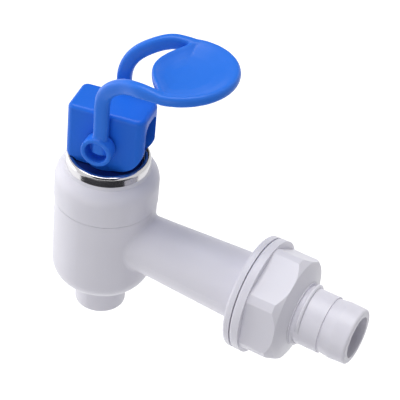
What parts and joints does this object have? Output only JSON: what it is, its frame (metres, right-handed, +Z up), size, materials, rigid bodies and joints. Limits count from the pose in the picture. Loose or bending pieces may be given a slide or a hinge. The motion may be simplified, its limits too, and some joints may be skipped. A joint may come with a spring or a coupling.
{
  "type": "beverage dispenser spigot",
  "caption": "Side-inlet drinks dispenser tap: rounded cup body with nozzle, bright trim ring, swivelling hood and press-down paddle lever, flanged shank with lock nut.",
  "frame": {"origin": "on the shank axis, in the plane of the flange face that bears on the tank wall", "axes": "+Y along the shank into the tank, +Z up, outlet pointing to -Z"},
  "size_m": [0.0341, 0.092, 0.0867],
  "materials": {
    "white_body": "satin moulded plastic, faintly translucent",
    "white_nut": "satin moulded plastic",
    "blue_lever": "satin blue moulded plastic",
    "blue_hood": "satin blue moulded plastic",
    "dark_collar": "dark blue plastic",
    "bright_ring": "polished chrome plate",
    "acetal": "natural acetal",
    "silicone": "translucent white silicone",
    "spring_steel": "drawn stainless wire and sheet"
  },
  "bodies": {
    "tap": {"tap_body": "white_body", "wall_washer": "silicone", "bonnet_cap": "white_body", "trim_ring": "bright_ring", "cap_gasket": "silicone", "guide_bush": "acetal", "bush_seal": "silicone", "spring_washer": "spring_steel", "return_spring": "spring_steel"},
    "nut": {"flange_nut": "white_nut"},
    "head": {"hood": "blue_hood", "swivel_collar": "dark_collar", "slip_washer": "spring_steel", "neck_clip": "spring_steel"},
    "stem_set": {"stem": "acetal", "stem_seal_lower": "silicone", "stem_seal_upper": "silicone", "valve_plug": "silicone"},
    "lever_arm": {"lever": "blue_lever"}
  },
  "joints": [
    {"name": "nut_turn", "type": "hinge", "parent": "tap", "child": "nut", "pos_m": [0, 0, 0], "axis": [0, 1, 0], "continuous": true},
    {"name": "head_swivel", "type": "hinge", "parent": "tap", "child": "head", "pos_m": [0, -0.0482, 0], "axis": [0, 0, 1], "continuous": true},
    {"name": "lever_press", "type": "hinge", "parent": "head", "child": "lever_arm", "pos_m": [0, -0.0482, 0.0318], "axis": [-0.9848, -0.1736, 0], "range_deg": [0, 38], "stiffness_Nm_per_rad": 0.12, "springref_deg": -28.65},
    {"name": "stem_lift", "type": "slide", "parent": "head", "child": "stem_set", "axis": [0, 0, 1], "range_m": [0, 0.00124], "deforming": ["return_spring"]}
  ],
  "couplings": [
    {"joint": "lever_press", "follows": "stem_lift", "rad_per_m": 536.1}
  ]
}
